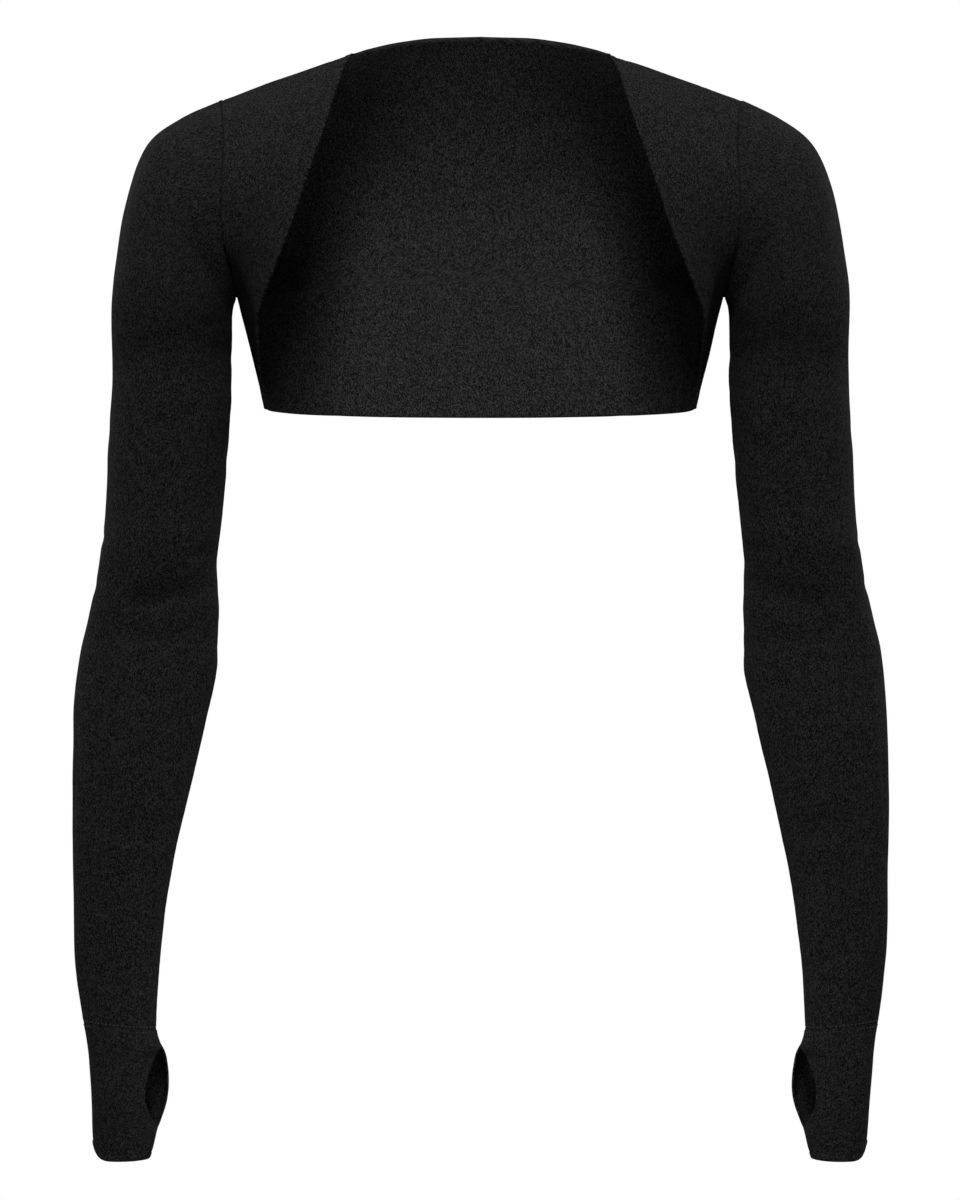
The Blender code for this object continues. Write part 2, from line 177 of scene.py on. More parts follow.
FRONT_EDGE = Table(
    "z       x      y      bulge",
    (17.3, 87.25, 0, 0),
    (8, 91.5, -13.5, 1.5),
    (-9, 95.9, -36, 3),
    (-31, 101.7, -53.5, 4),
    (-67, 112.8, -70.5, 5),
    (-108, 126.3, -77, 5.5),
    (-138, 138.4, -69, 5),
    (-152.5, 144.5, -57, 4),
    (-161, 147.5, -49, 3.2),
    (-175.5, 148, -40, 2.2),
    (-186, 147.7, -31, 1.8),
    (-200, 147.1, -17, 1),
    (-212, 145.7, -9, 0.4),
    (-220, 144.2, -6, 0),
)
BACK_OVAL = Table(
    "z       depth  half_width",
    (36, 99, 200),
    (-30, 102, 200),
    (-80, 105, 196),
    (-105, 105, 185),
    (-128, 104, 173),
    (-146, 102.5, 164.6),
    (-161, 101, 159.6),
    (-188, 97.5, 152),
    (-222, 91.5, 143.9),
)
SLEEVE = Table(
    "ring  outer_x  outer_z  inner_x  inner_z  mid_y  half_depth",
    (0, 174.5, -13.4, 163.1, -146, 2, 57),
    (2, 200.5, -25.5, 165.6, -153, 2, 53),
    (4, 222, -41.5, 166.5, -160.5, 3, 49.5),
    (6, 234.5, -70, 166.6, -168.5, 2, 48),
    (8, 242.8, -110, 166.6, -179, 2.5, 46.5),
    (10, 247.2, -154, 166.6, -195, 4.2, 42.8),
    (12, 247, -200, 165.8, -216, 6.5, 40),
    (14, 249.8, -246, 169.6, -252, 7.7, 39.8),
    (16, 252.1, -292, 173.8, -294, 8.7, 40.3),
    (17, 255, -315, 174.9, -316, 9.7, 40.3),
    (18, 258.6, -338, 175.4, -338, 11.3, 39.2),
    (19, 263.8, -360.5, 175, -360.5, 12, 37.2),
    (20, 268.9, -383, 175.4, -383, 10.7, 36.3),
    (22, 273, -430, 184.7, -430, 3.5, 36),
    (24, 273.2, -477, 195.2, -477, -2.2, 33.2),
    (26, 272.2, -525, 205.6, -525, -7, 29.5),
    (28, 271, -575, 212.8, -575, -12, 25.5),
    (29, 269, -601, 214.9, -604, -14.2, 23.6),
    (30, 264.6, -629, 216, -633.8, -16.4, 22),
)
CUFF = Table(
    "ring   z     outer_x  inner_x  lip_x  lip_angle  mid_y  half_depth",
    (0, -631.4, 264.6, 216, 216, 180, -16.4, 22),
    (1, -638.5, 262.9, 215.6, 214.8, 180, -17.3, 22.1),
    (2, -644.5, 262, 215.2, 212.8, 180, -18, 22.3),
    (3, -650.5, 261.2, 215.4, 210, 165, -18.5, 22.6),
    (4, -657.5, 260.6, 215.6, 208.6, 150, -19, 22.8),
    (5, -664.5, 260, 215.6, 207.8, 139, -19.4, 23),
    (6, -671.5, 259.4, 215.6, 207.6, 133, -19.8, 23),
    (7, -678.5, 258.8, 215.6, 208.2, 132, -20.1, 23),
    (8, -685.5, 258.3, 215.6, 209.8, 137, -20.4, 22.8),
    (9, -692.5, 258, 215.6, 212.2, 149, -20.7, 22.5),
    (10, -699.5, 257.7, 215.4, 214.6, 180, -21, 22),
    (11, -706.5, 257.3, 216.2, 216.2, 180, -21.2, 21.6),
    (12, -713, 257.2, 217.6, 217.6, 180, -21.4, 21.2),
    (13, -719, 256.6, 219.6, 219.6, 180, -21.5, 20.8),
)
NO_HOLE = 179           # lip angle over which the hand piece is closed all round
LIPS_PART = 15.0        # degrees over which the two lips of the thumb hole part from each other

# The largest soft troughs of a sleeve, which its solid has too
SLEEVE_FOLDS = (
    # ring, angle, along, around, depth
    (9, 150, 1.8, 22, 2),
    (12.5, 185, 1.2, 40, 1.6),
    (17.4, 170, 0.9, 55, 2.2),
    (19.4, 190, 0.9, 50, 1.8),
    (17, 300, 1, 45, 1.6),
    (21.5, 62, 4, 11, 1.7),
    (22.5, 128, 3.5, 12, 1.4),
    (23, 245, 4, 12, 1.6),
    (8.5, 225, 1.8, 24, 2),
    (28.5, 100, 0.7, 70, 0.8),
)

# Creases as the eye meets them from one side: troughs, or ridges where the depth is negative. From the
# front and the back the places are distance from the middle of the body and height, from the outer and
# the inner side of an arm they are depth (y) and height.
CREASES = (
    # seen from, on, and a row for each crease: from place, to place, bow, half-width, depth
    # the underarm
    ("front", "body", (
        ((158.7, -151), (159.4, -129), 0.3, 0.9, 2),
        ((160.6, -147), (161.2, -132), 0.2, 0.8, -0.5),
        ((154.6, -160), (157.2, -138), -1, 2.6, 0.9),
        ((151, -180), (155, -152), 0.8, 3.4, 1.1),
    )),
    ("front", "sleeve", (
        ((164.4, -146), (166.2, -127), -0.4, 0.9, 1.7),
        ((168.6, -118), (166, -132), 0.3, 1.4, 0.8),
        ((171.5, -122), (165.5, -138), 0, 2, -0.7),
        ((171, -161), (182, -172), 0, 6.5, 0.8),
    )),
    # the front panel
    ("front", "body", (
        ((176, -60), (134, -56), 2, 16, -0.9),
        ((178, -99), (138, -96), 2, 15, 1.2),
        ((151, -72), (156, -90), 0.6, 3.6, 0.8),
    )),
    # the sleeve head and the upper arm
    ("front", "sleeve", (
        ((200, -35), (168, -41), 0, 9, -0.8),
        ((200, -66), (168, -69), 1, 10, 1.2),
        ((208, -48), (212.5, -78), 2, 7, 1.3),
        ((190, -90), (198, -138), 2, 8, -1.7),
        ((179.5, -66), (168.5, -124), 2, 4.6, 1.7),
        ((208, -58), (211, -66), 0, 3.4, 0.5),
        ((150, -140), (268, -146), -3, 25, -1.6),
        ((150, -190), (268, -199), 3, 21, 1.4),
        ((176, -174), (232, -186), 4, 10, 0.5),
        ((181, -222), (214, -236), 3, 11, 0.6),
        # the bend of the elbow
        ((170, -310), (262, -314), 3, 17, -1.6),
        ((176, -368), (256, -374), -4, 15, 1.7),
        ((188, -343), (228, -354), -2, 3.2, 0.7),
        ((184, -338), (233, -351), -2.5, 11, 3.4),
        ((176, -313), (194, -318), 0, 3.5, 1.2),
        ((239, -384), (208, -388), -6, 4.2, -1.9),
        ((199, -352), (200.5, -376), 1.5, 5, 0.9),
        # the forearm
        ((244.2, -379), (244.6, -476), 0.4, 1.9, -2.3),
        ((249.4, -382), (251, -430), 0, 2.6, 2),
        ((239.4, -386), (239.6, -436), 0.5, 2.8, 1.9),
        ((256.4, -410), (257.4, -466), -0.6, 3.2, 2.2),
        ((242.4, -446), (238.4, -464), 0, 3.2, -1.1),
        ((246.6, -480), (247.6, -520), 0.4, 2, -1.5),
        ((252.4, -476), (253.2, -522), 0.4, 2.6, 0.8),
        ((218.5, -384), (206, -408), 1.5, 6, -0.7),
        ((240, -477), (212, -481), 2, 14, -0.9),
        ((240, -500), (209, -505), 2, 10, 1.1),
        ((240, -524), (210, -530), 2, 13, 0.9),
        ((250, -528), (251, -556), 1, 4, 0.6),
        ((263.5, -564), (244.5, -565.5), 0.3, 1.1, -0.3),
        ((241.5, -583), (256, -584.5), 0.3, 1.1, 0.3),
        ((259.4, -600), (258, -615), 0, 2, -0.4),
        ((222, -600), (243, -608), 2, 5, 0.5),
    )),
    ("front", "cuff", (
        ((228, -652), (232, -672), 2, 3.6, -0.6),
        ((224, -700), (243, -694), 2, 5, 0.5),
    )),
    # the back
    ("back", "all", (
        ((162.5, -144), (166.5, -121), -1, 2.4, 1.3),
        ((158.5, -149), (159, -129), 0.6, 2.2, 1.1),
    )),
    ("back", "body", (
        ((153, -172), (155, -146), 1, 3.2, 1),
        ((150, -112), (108, -140), 6, 7.5, 1.1),
        ((155, -90), (122, -104), -3, 6, 0.8),
        ((146, -139), (92, -176), 9, 9, 0.9),
        ((60, -30), (22, -62), -6, 12, 0.7),
    )),
    ("back", "sleeve", (
        ((168.5, -124), (177, -80), 2, 5, 1.1),
        ((198, -58), (203, -128), 4, 12, -0.9),
        ((186, -96), (180, -150), -3, 7, 0.8),
        ((178, -182), (214, -216), 5, 10, 0.8),
        ((182, -318), (226, -327), -5, 6, 0.8),
        ((186, -357), (232, -352), 4, 5.5, 0.9),
        ((246, -340), (238, -376), 3, 6.5, 0.8),
        ((236, -402), (241, -490), -2, 4.4, 0.8),
        ((220, -420), (226, -470), 1, 3.4, -0.6),
        ((252, -520), (250, -572), 1, 3.4, 0.5),
        ((224, -596), (250, -601), -2, 3, 0.5),
    )),
    ("back", "cuff", (
        ((226, -662), (234, -690), 2, 4.6, 0.5),
    )),
    # the outer side of an arm
    ("outer", "sleeve", (
        ((-14, -60), (-20, -110), 3, 9, 0.8),
        ((22, -92), (26, -150), -3, 10, 0.8),
        ((-8, -232), (18, -247), 2, 9, 0.5),
        ((-6, -309), (26, -301), -2, 5, 0.7),
        ((2, -337), (30, -352), 3, 5.5, 0.8),
        ((14, -376), (8, -440), 2, 5, 0.7),
        ((-14, -430), (-16, -500), -1.5, 3.6, 0.6),
        ((2, -548), (-10, -596), 1.5, 4, 0.5),
    )),
    # the inner side of an arm
    ("inner", "sleeve", (
        ((-22, -186), (18, -190), 4, 6, 0.5),
        ((-16, -205), (26, -214), 3, 7, 0.5),
        ((-6, -238), (24, -262), -3, 9, 0.6),
        ((-24, -318), (20, -322), -4, 5.4, 0.4),
        ((-20, -352), (30, -348), 4, 8, 0.4),
        ((-12, -380), (26, -389), 3, 8, 0.5),
        ((-4, -420), (-6, -496), 2, 4.6, 0.7),
        ((-18, -540), (-14, -590), 1, 3.6, 0.5),
    )),
)
FACING = {"front": (0, -1, 0), "back": (0, 1, 0), "outer": (1, 0, 0), "inner": (-1, 0, 0)}
CREASE_ON = {"body": ("back", "front"), "sleeve": ("sleeve",), "cuff": ("cuff",)}
CREASE_ON["all"] = ("back", "front", "sleeve")
CREASE_VARY = 0.22      # how much a crease's depth differs from its row, as a share
CREASE_SHIFT = 1.6      # how far a crease lies from its row's place
CREASE_ENDS = (-0.2, 0.35)   # parts of its run between which a crease grows from nothing, at each end
CREASE_CURVE = 0.8      # shape across a crease: a trough with a low rise on either side
CREASE_FACING = (0.1, 0.5)   # how squarely the cloth faces the view, from no crease to a full one
CREASE_CALM = 2.0       # distance from a seam within which creases fade

# Slow waves of the cloth: wavelength, height, how much longer they run along the arm and the body
WAVES = ((52.0, 0.34, 2.2), (27.0, 0.08, 1.8), (13.0, 0.02, 1.4))
WAVE_COUNT = 9          # waves of each kind, in chance directions

# Seeds of what is uneven by chance
WAVE_SEED = 5
CREASE_SEEDS = (11, 12)   # for the wearer's left side and the back, and for the right side
PUCKER_SEED = 21


def spaced(length, start=True, end=True):
    """Places from 0 to 1 along a length: CELL apart, and closer beside a seam or an edge."""
    near = np.array((0.0,) + NEAR_EDGE)
    low = near[-1] if start else 0.0
    high = length - near[-1] if end else length
    places = np.linspace(low, high, max(2, round((high - low) / CELL)) + 1)
    if start:
        places = np.concatenate([near[:-1], places])
    if end:
        places = np.concatenate([places, length - near[-2::-1]])
    return places / length


def lengths(points):
    """Distance along a row of points from its first one."""
    steps = np.linalg.norm(np.diff(points, axis=0), axis=1)
    return np.concatenate([[0.0], np.cumsum(steps)])


def along(curve, places):
    run = lengths(curve)
    return np.stack([np.interp(places * run[-1], run, c) for c in curve.T], axis=1)


def step_between(low, high, value):
    """From 0 at low to 1 at high, with a level start and end."""
    part = np.clip((value - low) / (high - low), 0.0, 1.0)
    return part * part * (3 - 2 * part)


def relaxed(grid, rounds=RELAX_ROUNDS):
    """The same grid with its inner points evened out, which takes away the marks that the tables leave."""
    grid = grid.copy()
    down = 1 / np.maximum(np.linalg.norm(np.diff(grid, axis=0), axis=2), RELAX_LEAST)[:, 1:-1, None]
    across = 1 / np.maximum(np.linalg.norm(np.diff(grid, axis=1), axis=2), RELAX_LEAST)[1:-1, :, None]
    above, below, before, after = down[:-1], down[1:], across[:, :-1], across[:, 1:]
    for _ in range(rounds):
        one_way = (above * grid[:-2, 1:-1] + below * grid[2:, 1:-1]) / (above + below)
        other_way = (before * grid[1:-1, :-2] + after * grid[1:-1, 2:]) / (before + after)
        grid[1:-1, 1:-1] += RELAX_PULL * (one_way + other_way - 2 * grid[1:-1, 1:-1])
    return grid


FRONT_ARMHOLE = ARMHOLE.curve("front_x", "front_y", "front_z")
BACK_ARMHOLE = ARMHOLE.curve("back_x", "back_y", "back_z")
ARM_PLACES = spaced(lengths(FRONT_ARMHOLE)[-1])
SIDE_PLACES = spaced(lengths(SIDE_SEAM.curve("x", "y", "z"))[-1])
NECK_PLACES = NECK_X * spaced(NECK_X, start=False)
TOP_PLACES = np.concatenate([NECK_PLACES, NECK_X + (SHOULDER_X - NECK_X) * spaced(SHOULDER_X - NECK_X)[1:]])


def outer_edge(armhole):
    side = along(SIDE_SEAM.curve("x", "y", "z"), SIDE_PLACES)
    return np.concatenate([along(armhole, ARM_PLACES), side[1:]])


def neck_curve(x):
    return NECK_DEPTH * (1 - np.minimum(x / NECK_X, 1.0) ** 2) ** NECK_CURVE


def top_row():
    return np.stack([TOP_PLACES, neck_curve(TOP_PLACES), TOP_EDGE.at(TOP_PLACES, "z")], axis=1)


def back_grid():
    """The back, from the wearer's right to the left in each row, and from the top row to the hem."""
    edge = outer_edge(BACK_ARMHOLE)[:, None, :]
    x_top, top_z = TOP_PLACES[None, :], TOP_EDGE.at(TOP_PLACES, "z")[None, :]
    corner_x, corner_z = edge[..., 0], edge[..., 2]
    down = (edge[0, 0, 2] - corner_z) / (edge[0, 0, 2] - edge[-1, 0, 2])
    half_width = np.maximum(BACK_OVAL.at(corner_z, "half_width"), corner_x)
    around = np.minimum(down * BODY_TURN, 1.0)
    u = x_top / SHOULDER_X
    x = corner_x * u * (1 - around) + half_width * np.sin(np.arcsin(corner_x / half_width) * u) * around
    z = top_z + (HEM_Z - HEM_DIP * (1 - u ** 2) - top_z) * down
    over = step_between(*SHOULDER_PART, u)
    width_part = np.clip(x / half_width, 0.0, 1.0)
    full = BACK_OVAL.at(z, "depth") * (1 - width_part ** BODY_CURVE) ** (1 / BODY_CURVE)
    left = 1 - np.clip((top_z - z) / SHOULDER_ROUND, 0.0, 1.0)
    rise = over * np.sqrt(1 - left ** 2) + (1 - over) * (1 - left ** 2)
    start = neck_curve(x_top)
    half = np.stack([x, start + (full - start) * rise, z], axis=2)
    half += (edge - half[:, -1:]) * u[..., None] ** SEAM_REACH
    half[0] = top_row()
    half[:, -1] = edge[:, 0]
    half[:, 0, 0] = 0.0
    return relaxed(np.concatenate([half[:, :0:-1] * (-1, 1, 1), half], axis=1))


def front_grid():
    """The wearer's left front, from the armhole and side seam to the free edge in each row."""
    seam = outer_edge(FRONT_ARMHOLE)
    side_part = ARMHOLE_PART + (1 - ARMHOLE_PART) * SIDE_PLACES[1:]
    free = along(FRONT_EDGE.curve("x", "y", "z"), np.concatenate([ARM_PLACES * ARMHOLE_PART, side_part]))
    shoulder = top_row()[len(NECK_PLACES) - 1:][::-1]
    part = ((SHOULDER_X - shoulder[:, 0]) / (SHOULDER_X - NECK_X))[None, :, None]
    chord = free - seam
    outwards = np.stack([-chord[:, 1], chord[:, 0], 0 * chord[:, 0]], axis=1)
    outwards /= np.maximum(np.linalg.norm(outwards, axis=1, keepdims=True), 1e-9)
    bulge = FRONT_EDGE.at(free[:, 2], "bulge")[:, None, None]
    grid = seam[:, None] + chord[:, None] * part + outwards[:, None] * 4 * bulge * part * (1 - part)
    grid[0] = shoulder
    grid[:, 0] = seam
    return grid


def oval(angle):
    c, s = np.cos(angle), np.sin(angle)
    power = 2 / SLEEVE_CURVE
    return np.sign(c) * np.abs(c) ** power, np.sign(s) * np.abs(s) ** power


def sleeve_rows(rings, angles):
    """Rings of the wearer's left sleeve, from the outer point round the front, the inside and the back."""
    wide, deep = (part[None, :, None] for part in oval(angles))
    size = {name: SLEEVE.at(rings, name)[:, None] for name in SLEEVE.values}
    zero = 0 * size["ring"]
    outer = np.stack([size["outer_x"], zero, size["outer_z"]], axis=2)
    inner = np.stack([size["inner_x"], zero, size["inner_z"]], axis=2)
    middle = (outer + inner) / 2 + np.stack([zero, size["mid_y"], zero], axis=2)
    depth = np.stack([zero, -size["half_depth"], zero], axis=2)
    spoke = (outer - inner) / 2 * wide + depth * deep
    degrees = np.degrees(angles)[None, :]
    inset = 0.0
    for ring, towards, reach, around, deepest in SLEEVE_FOLDS:
        off = (degrees - towards + 180) % 360 - 180
        inset = inset + deepest * np.exp(-((rings[:, None] - ring) / reach) ** 2 - (off / around) ** 2)
    return middle + spoke - spoke / np.linalg.norm(spoke, axis=2, keepdims=True) * inset[..., None]


def sleeve_grid():
    angles = np.concatenate([pi * ARM_PLACES, 2 * pi - pi * ARM_PLACES[-2::-1]])
    front, back = along(FRONT_ARMHOLE, ARM_PLACES), along(BACK_ARMHOLE, ARM_PLACES)
    armhole = np.concatenate([front, back[-2::-1]])
    rings = SLEEVE_RINGS * spaced(-(SLEEVE.at(SLEEVE_RINGS, "outer_z") - SLEEVE.at(0, "outer_z")))
    grid = sleeve_rows(rings, angles)
    keep = np.maximum(1 - rings / ARMHOLE_FADE, 0.0) ** 2
    grid += (armhole - grid[0])[None] * keep[:, None, None]
    grid[0] = armhole
    grid[:, -1] = grid[:, 0]
    return grid


def cuff_grid():
    """The left hand piece, from the back lip of the thumb hole round the outside to the front lip."""
    half = len(ARM_PLACES) - 1
    wrist = sleeve_grid()[-1]
    wrist = np.concatenate([wrist[half:-1], wrist[:half + 1]])
    rings = CUFF_RINGS * spaced(CUFF.at(0, "z") - CUFF.at(CUFF_RINGS, "z"))[:, None]
    size = {name: CUFF.at(rings, name) for name in CUFF.values}
    closed = size["lip_angle"] > NO_HOLE
    front_turn = np.where(closed, pi, np.radians(size["lip_angle"]))
    places = np.concatenate([-ARM_PLACES[::-1], ARM_PLACES[1:]])[None, :]
    wide, deep = oval(places * np.where(places > 0, front_turn, pi))
    middle = (size["outer_x"] + size["inner_x"]) / 2
    parted = np.where(closed, 0.0, step_between(0, LIPS_PART, 180 - size["lip_angle"]))
    front_inner = size["lip_x"] + (size["inner_x"] - size["lip_x"]) * parted
    inner = np.where(places < 0, size["lip_x"], front_inner)
    reach = np.where(wide < 0, middle - inner, size["outer_x"] - middle)
    last = np.maximum(0.0, (rings - (CUFF_RINGS - CUFF_CORNER_RINGS)) / CUFF_CORNER_RINGS)
    z = size["z"] + CUFF_CORNER_LIFT * last * np.maximum(wide, 0.0) ** CUFF_CORNER_CURVE
    grid = np.stack([middle + reach * wide, size["mid_y"] - size["half_depth"] * deep, z], axis=2)
    grid += (wrist - grid[0])[None] * np.maximum(1 - rings / CUFF_FADE, 0.0)[..., None] ** 2
    grid[0] = wrist
    shut = closed[:, 0]
    grid[shut, -1] = grid[shut, 0]
    return grid


class Piece:
    """A piece of cloth as a grid of points, with how far each point lies from the grid's four sides."""

    def __init__(self, name, kind, grid, side=0):
        self.name, self.kind, self.side = name, kind, side
        if side < 0:
            grid = (grid * (-1, 1, 1))[:, ::-1]
        self.grid = grid
        down = np.linalg.norm(np.diff(grid, axis=0), axis=2)
        across = np.linalg.norm(np.diff(grid, axis=1), axis=2)
        self.from_top = np.vstack([0 * down[:1], np.cumsum(down, axis=0)])
        self.from_bottom = self.from_top[-1:] - self.from_top
        self.from_first = np.hstack([0 * across[:, :1], np.cumsum(across, axis=1)])
        self.from_last = self.from_first[:, -1:] - self.from_first
        self.flat = grid.reshape(-1, 3)

    def outer_side(self):
        """Distance from the armhole and side seam."""
        if self.kind == "back":
            return np.minimum(self.from_first, self.from_last)
        return self.from_first if self.side > 0 else self.from_last

    def grain(self):
        """Places along the courses and the wales, for the corners of each cell of the grid."""
        across, down = corners_of(self.from_first), corners_of(self.from_bottom)
        middle = self.grid.shape[1] // 2
        if self.kind == "back":
            across = across - self.from_first[:, middle].mean()
        if self.kind == "sleeve":
            behind = np.arange(self.grid.shape[1] - 1) >= middle
            across = np.where(behind[None, :, None], -corners_of(self.from_last), across)
        return np.stack([across, down], axis=3).reshape(-1, 4, 2)

    def seam_distance(self):
        if self.kind == "sleeve":
            under = np.minimum(np.abs(self.from_first - self.underarm()), FAR)
            return np.minimum(np.minimum(self.from_top, self.from_bottom), under)
        if self.kind == "cuff":
            return self.from_top
        on_shoulder = np.abs(self.grid[:1, :, 0]) >= NECK_X - CLOSE
        return np.minimum(self.outer_side(), np.where(on_shoulder, self.from_top, FAR))

    def wrist_distance(self):
        if self.kind == "sleeve":
            return self.from_bottom
        return self.from_top if self.kind == "cuff" else np.full(self.grid.shape[:2], FAR)

    def underarm(self):
        """Distance along each ring to the sleeve's own seam, which runs down its inner side."""
        return self.from_first[:, len(ARM_PLACES) - 1][:, None]

    def edge_distance(self):
        if self.kind == "sleeve":
            return np.full(self.grid.shape[:2], FAR)
        if self.kind == "cuff":
            width = np.linalg.norm(self.grid[:, 0] - self.grid[:, -1], axis=1)
            lips = np.where(width[:, None] > CLOSE, np.minimum(self.from_first, self.from_last), FAR)
            return np.minimum(self.from_bottom, lips)
        if self.kind == "back":
            on_neck = np.abs(self.grid[:1, :, 0]) < NECK_X + CLOSE
            return np.minimum(self.from_bottom, np.where(on_neck, self.from_top, FAR))
        free = self.from_last if self.side > 0 else self.from_first
        return np.minimum(self.from_bottom, free)


def new_object(name, data):
    obj = bpy.data.objects.new(name, data)
    bpy.context.scene.collection.objects.link(obj)
    return obj


def corners_of(values):
    """The values at the four corners of each cell of a grid."""
    return np.stack([values[:-1, :-1], values[:-1, 1:], values[1:, 1:], values[1:, :-1]], axis=2)


def ripples(places, seed):
    """Uneven waves from -1 to 1 at distances along a seam."""
    chance = np.random.default_rng(seed)
    total = 0.0
    for wavelength in PUCKER_WAVES:
        total = total + np.sin(2 * pi * (places / wavelength + chance.random())) * (0.5 + chance.random())
    return total / len(PUCKER_WAVES)


def slow_waves(points):
    """A soft uneven relief over the whole jacket, the same wherever two pieces meet."""
    chance = np.random.default_rng(WAVE_SEED)
    total = np.zeros(len(points))
    for wavelength, height, stretch in WAVES:
        for _ in range(WAVE_COUNT):
            way = chance.normal(size=3) / (1, 1, stretch)
            way *= 2 * pi / wavelength / np.linalg.norm(way)
            total += height * np.sin(points @ way + 2 * pi * chance.random()) / np.sqrt(WAVE_COUNT)
    return total


def crease_depth(piece, points, normals):
    """How far the creases draw the cloth in, as each is seen from its own side."""
    depth = np.zeros(len(points))
    mirror = np.where(points[:, 0] < 0, -1.0, 1.0)
    one = np.ones(len(points))
    chance = np.random.default_rng(CREASE_SEEDS[piece.side < 0])
    low, full = CREASE_ENDS
    for view, on, rows in CREASES:
        for start, end, bow, width, deepest in rows:
            vary = 1 + CREASE_VARY * (chance.random() * 2 - 1)
            shift = CREASE_SHIFT * (chance.random(2) * 2 - 1)
            if piece.kind not in CREASE_ON[on]:
                continue
            facing = (normals * np.stack([mirror, one, one], axis=1)) @ np.array(FACING[view])
            level = points[:, 0] * mirror if view in ("front", "back") else points[:, 1]
            place = np.stack([level, points[:, 2]], axis=1) - shift
            start, end = np.array(start), np.array(end)
            run = np.linalg.norm(end - start)
            ahead = (end - start) / run
            aside = np.array([-ahead[1], ahead[0]])
            t = (place - start) @ ahead / run
            off = (place - start) @ aside - 4 * bow * t * (1 - t)
            taper = step_between(low, full, t) * step_between(1 - low, 1 - full, t)
            q = CREASE_CURVE * (off / width) ** 2
            depth += deepest * vary * taper * (1 - q) * np.exp(-q) * step_between(*CREASE_FACING, facing)
    return depth


def quad_normals(grid):
    a, b, c, d = np.moveaxis(corners_of(grid), 2, 0)
    return np.cross(c - a, d - b)


class Jacket:
    """All the pieces, with the points that they share at their seams."""

    def __init__(self, pieces):
        self.pieces = pieces
        everything = np.concatenate([piece.flat for piece in pieces])
        _, self.label = np.unique(np.round(everything, 3), axis=0, return_inverse=True)
        self.label = self.label.ravel()
        self.count = self.label.max() + 1
        self.start = np.cumsum([0] + [len(piece.flat) for piece in pieces])
        owners = np.zeros((self.count, len(pieces)), bool)
        for k, piece in enumerate(pieces):
            owners[self.labels(k), k] = True
        self.shared = owners.sum(axis=1) > 1

    def labels(self, k):
        return self.label[self.start[k]:self.start[k + 1]]

    def mean(self, values):
        """One value for each label, from the values of all the points."""
        total = np.zeros((self.count,) + values.shape[1:])
        np.add.at(total, self.label, values)
        times = np.bincount(self.label, minlength=self.count)
        return total / times.reshape((-1,) + (1,) * (values.ndim - 1))

    def normals(self, places):
        total = np.zeros((self.count, 3))
        for k, piece in enumerate(self.pieces):
            grid = places[self.labels(k)].reshape(piece.grid.shape)
            normal = quad_normals(grid)
            label = self.labels(k).reshape(piece.grid.shape[:2])
            for corner in np.moveaxis(corners_of(label), 2, 0):
                np.add.at(total, corner.ravel(), normal.reshape(-1, 3))
        return total / np.maximum(np.linalg.norm(total, axis=1, keepdims=True), 1e-12)

    def relief(self, normals):
        """How far each point moves out of the cloth, and how thick the cloth is there."""
        move, thick = [], []
        for k, piece in enumerate(self.pieces):
            own = normals[self.labels(k)]
            seam, edge = piece.seam_distance().ravel(), piece.edge_distance().ravel()
            at_wrist = np.exp(-(piece.wrist_distance().ravel() / SEAM_WIDTH) ** 4)
            near_seam = np.exp(-(seam / SEAM_WIDTH) ** 2) * (1 - (1 - WRIST_DEPTH / SEAM_DEPTH) * at_wrist)
            run = (piece.from_top + piece.from_first).ravel()
            beside = step_between(0.0, PUCKER_START, seam) * np.exp(-seam / PUCKER_REACH)
            pucker = PUCKER * ripples(run, PUCKER_SEED + k) * beside
            crease = crease_depth(piece, piece.flat, own) * step_between(0.0, CREASE_CALM, seam)
            turned = 1 - step_between(TURN_WIDTH - TURN_SLOPE, TURN_WIDTH, edge)
            dent = TURN_DENT * np.exp(-((edge - TURN_WIDTH - TURN_DENT_AWAY) / TURN_DENT_WIDTH) ** 2)
            soft = slow_waves(piece.flat) + pucker - crease
            move.append(soft - SEAM_DEPTH * near_seam + TURNED_LIFT * turned - dent)
            thick.append(CLOTH + (TURNED - CLOTH) * turned * step_between(*TURN_AT_SEAM, seam))
        return self.mean(np.concatenate(move)), self.mean(np.concatenate(thick))

    def shape(self):
        places = self.mean(np.concatenate([piece.flat for piece in self.pieces]))
        normals = self.normals(places)
        move, thick = self.relief(normals)
        self.outer = places + normals * move[:, None]
        self.normal = self.normals(self.outer)
        self.inner = self.outer - self.normal * thick[:, None]


def border(faces):
    """The edges that only one face has, as pairs of points in the face's own order."""
    pairs = np.concatenate([np.stack([faces[:, i], faces[:, (i + 1) % 4]], axis=1) for i in range(4)])
    pairs = pairs[pairs[:, 0] != pairs[:, 1]]
    known = {tuple(pair) for pair in pairs.tolist()}
    return [pair for pair in known if pair[::-1] not in known]


def round_rims(free, outer, inner, normal):
    """The points round the free edges, and for each point of an edge its chain from outside to inside."""
    chain, extra = {}, []
    turn = np.linspace(0, pi, RIM_STEPS + 2)[1:-1]
    for point, pull in ways_out(free, outer, normal).items():
        middle = (outer[point] + inner[point]) / 2
        half = (outer[point] - inner[point]) / 2
        reach = pull / max(np.linalg.norm(pull), 1e-9) * np.linalg.norm(half)
        first = 2 * len(outer) + len(extra)
        extra += [middle + half * np.cos(a) + reach * np.sin(a) for a in turn]
        chain[point] = [point] + list(range(first, first + RIM_STEPS)) + [point + len(outer)]
    return np.reshape(extra, (-1, 3)), chain


